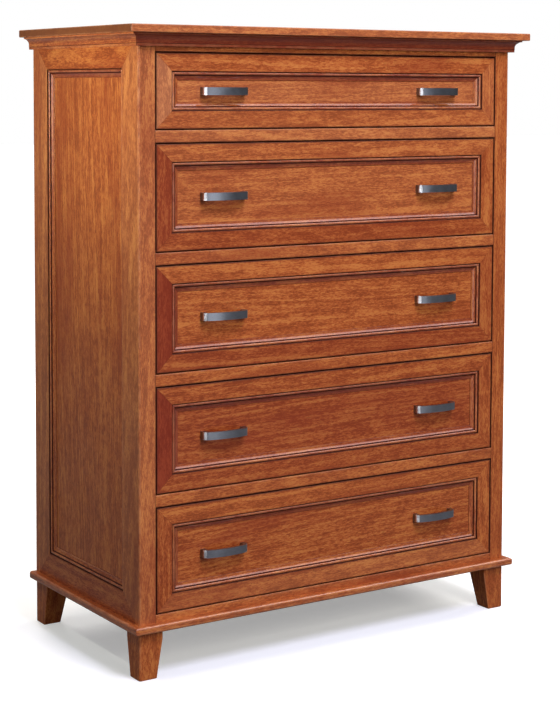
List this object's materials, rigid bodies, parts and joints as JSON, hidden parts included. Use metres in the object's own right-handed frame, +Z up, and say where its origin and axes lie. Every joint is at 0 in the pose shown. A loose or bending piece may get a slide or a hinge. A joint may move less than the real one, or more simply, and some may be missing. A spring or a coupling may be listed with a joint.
{
  "type": "chest of drawers",
  "caption": "Tall framed and panelled wooden chest of drawers on short tapered feet, with inset drawers on full-extension slides and bowed strap pulls.",
  "frame": {"origin": "bottom centre of the chest's overall box, on the floor", "axes": "+X to the right as seen from the front, +Y to the back, +Z up; the drawers open towards -Y"},
  "size_m": [1.02, 0.518, 1.32],
  "materials": {
    "cherry": "satin lacquer",
    "maple": "clear matte",
    "plywood": "clear matte",
    "pewter": "brushed",
    "slide_steel": "zinc plated"
  },
  "bodies": {
    "case": {"top_board": "cherry", "crown_moulding": "cherry", "base_moulding": "cherry", "left_side_frame": "cherry", "left_side_panel": "cherry", "left_side_moulding": "cherry", "right_side_frame": "cherry", "right_side_panel": "cherry", "right_side_moulding": "cherry", "face_frame_stiles": "cherry", "face_frame_rails": "cherry", "case_back": "plywood", "case_bottom": "plywood", "corner_blocks": "maple", "slide_cleats": "maple", "slide_channels": "slide_steel", "front_left_foot": "cherry", "front_right_foot": "cherry", "back_left_foot": "cherry", "back_right_foot": "cherry"},
    "drawer_1": {"drawer_1_frame": "cherry", "drawer_1_panel": "cherry", "drawer_1_moulding": "cherry", "drawer_1_box": "maple", "drawer_1_bottom": "plywood", "drawer_1_pulls": "pewter", "drawer_1_slide_runners": "slide_steel"},
    "drawer_1_middles": {"drawer_1_slide_middles": "slide_steel"},
    "drawer_2": {"drawer_2_frame": "cherry", "drawer_2_panel": "cherry", "drawer_2_moulding": "cherry", "drawer_2_box": "maple", "drawer_2_bottom": "plywood", "drawer_2_pulls": "pewter", "drawer_2_slide_runners": "slide_steel"},
    "drawer_2_middles": {"drawer_2_slide_middles": "slide_steel"},
    "drawer_3": {"drawer_3_frame": "cherry", "drawer_3_panel": "cherry", "drawer_3_moulding": "cherry", "drawer_3_box": "maple", "drawer_3_bottom": "plywood", "drawer_3_pulls": "pewter", "drawer_3_slide_runners": "slide_steel"},
    "drawer_3_middles": {"drawer_3_slide_middles": "slide_steel"},
    "drawer_4": {"drawer_4_frame": "cherry", "drawer_4_panel": "cherry", "drawer_4_moulding": "cherry", "drawer_4_box": "maple", "drawer_4_bottom": "plywood", "drawer_4_pulls": "pewter", "drawer_4_slide_runners": "slide_steel"},
    "drawer_4_middles": {"drawer_4_slide_middles": "slide_steel"},
    "drawer_5": {"drawer_5_frame": "cherry", "drawer_5_panel": "cherry", "drawer_5_moulding": "cherry", "drawer_5_box": "maple", "drawer_5_bottom": "plywood", "drawer_5_pulls": "pewter", "drawer_5_slide_runners": "slide_steel"},
    "drawer_5_middles": {"drawer_5_slide_middles": "slide_steel"}
  },
  "joints": [
    {"name": "drawer_1_slide", "type": "slide", "parent": "case", "child": "drawer_1", "axis": [0, -1, 0], "range_m": [0, 0.43]},
    {"name": "drawer_1_middles_slide", "type": "slide", "parent": "case", "child": "drawer_1_middles", "axis": [0, -1, 0], "range_m": [0, 0.215]},
    {"name": "drawer_2_slide", "type": "slide", "parent": "case", "child": "drawer_2", "axis": [0, -1, 0], "range_m": [0, 0.43]},
    {"name": "drawer_2_middles_slide", "type": "slide", "parent": "case", "child": "drawer_2_middles", "axis": [0, -1, 0], "range_m": [0, 0.215]},
    {"name": "drawer_3_slide", "type": "slide", "parent": "case", "child": "drawer_3", "axis": [0, -1, 0], "range_m": [0, 0.43]},
    {"name": "drawer_3_middles_slide", "type": "slide", "parent": "case", "child": "drawer_3_middles", "axis": [0, -1, 0], "range_m": [0, 0.215]},
    {"name": "drawer_4_slide", "type": "slide", "parent": "case", "child": "drawer_4", "axis": [0, -1, 0], "range_m": [0, 0.43]},
    {"name": "drawer_4_middles_slide", "type": "slide", "parent": "case", "child": "drawer_4_middles", "axis": [0, -1, 0], "range_m": [0, 0.215]},
    {"name": "drawer_5_slide", "type": "slide", "parent": "case", "child": "drawer_5", "axis": [0, -1, 0], "range_m": [0, 0.43]},
    {"name": "drawer_5_middles_slide", "type": "slide", "parent": "case", "child": "drawer_5_middles", "axis": [0, -1, 0], "range_m": [0, 0.215]}
  ],
  "couplings": [
    {"joint": "drawer_1_middles_slide", "follows": "drawer_1_slide", "ratio": 0.5},
    {"joint": "drawer_2_middles_slide", "follows": "drawer_2_slide", "ratio": 0.5},
    {"joint": "drawer_3_middles_slide", "follows": "drawer_3_slide", "ratio": 0.5},
    {"joint": "drawer_4_middles_slide", "follows": "drawer_4_slide", "ratio": 0.5},
    {"joint": "drawer_5_middles_slide", "follows": "drawer_5_slide", "ratio": 0.5}
  ]
}
